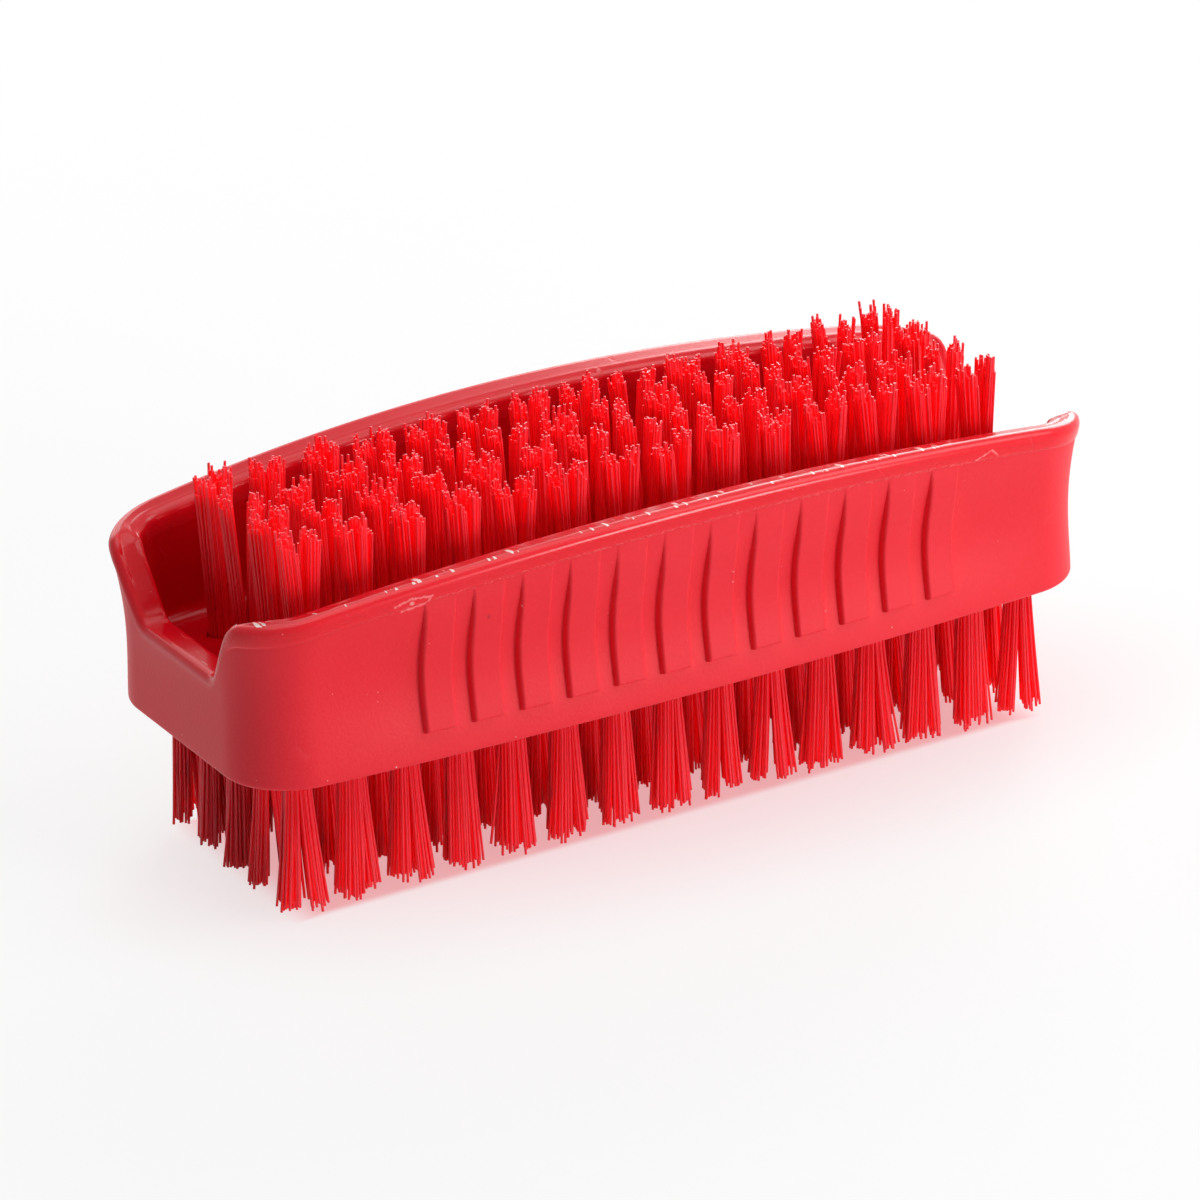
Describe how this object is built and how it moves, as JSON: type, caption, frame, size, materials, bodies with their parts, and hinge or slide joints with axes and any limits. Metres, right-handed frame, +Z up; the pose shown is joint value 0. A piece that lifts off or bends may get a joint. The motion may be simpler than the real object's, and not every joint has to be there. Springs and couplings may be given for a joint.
{
  "type": "nail brush",
  "caption": "Double-sided nail brush: boat-shaped moulded block with ribbed sides and end notches, and bristle tufts set in blind holes on both faces.",
  "frame": {"origin": "centre of the plane that the lower bristle tips stand on, under the middle of the block", "axes": "+X along the block, +Y across it, +Z up out of the trough and the upper bristles"},
  "size_m": [0.118, 0.049, 0.048],
  "materials": {
    "block": "satin moulded red, glossier inside the trough and on the rim",
    "bristle": "red round filaments with a soft sheen",
    "anchor": "bare flat wire"
  },
  "bodies": {
    "root": {"brush_block": "block", "lower_tufts_01": "bristle", "lower_anchors_01": "anchor", "lower_tufts_02": "bristle", "lower_anchors_02": "anchor", "lower_tufts_03": "bristle", "lower_anchors_03": "anchor", "lower_tufts_04": "bristle", "lower_anchors_04": "anchor", "lower_tufts_05": "bristle", "lower_anchors_05": "anchor", "lower_tufts_06": "bristle", "lower_anchors_06": "anchor", "lower_tufts_07": "bristle", "lower_anchors_07": "anchor", "lower_tufts_08": "bristle", "lower_anchors_08": "anchor", "lower_tufts_09": "bristle", "lower_anchors_09": "anchor", "lower_tufts_10": "bristle", "lower_anchors_10": "anchor", "lower_tufts_11": "bristle", "lower_anchors_11": "anchor", "lower_tufts_12": "bristle", "lower_anchors_12": "anchor", "lower_tufts_13": "bristle", "lower_anchors_13": "anchor", "lower_tufts_14": "bristle", "lower_anchors_14": "anchor", "lower_tufts_15": "bristle", "lower_anchors_15": "anchor", "upper_tufts_01": "bristle", "upper_anchors_01": "anchor", "upper_tufts_02": "bristle", "upper_anchors_02": "anchor", "upper_tufts_03": "bristle", "upper_anchors_03": "anchor", "upper_tufts_04": "bristle", "upper_anchors_04": "anchor", "upper_tufts_05": "bristle", "upper_anchors_05": "anchor", "upper_tufts_06": "bristle", "upper_anchors_06": "anchor", "upper_tufts_07": "bristle", "upper_anchors_07": "anchor", "upper_tufts_08": "bristle", "upper_anchors_08": "anchor", "upper_tufts_09": "bristle", "upper_anchors_09": "anchor", "upper_tufts_10": "bristle", "upper_anchors_10": "anchor", "upper_tufts_11": "bristle", "upper_anchors_11": "anchor", "upper_tufts_12": "bristle", "upper_anchors_12": "anchor", "upper_tufts_13": "bristle", "upper_anchors_13": "anchor", "upper_tufts_14": "bristle", "upper_anchors_14": "anchor"}
  },
  "joints": []
}
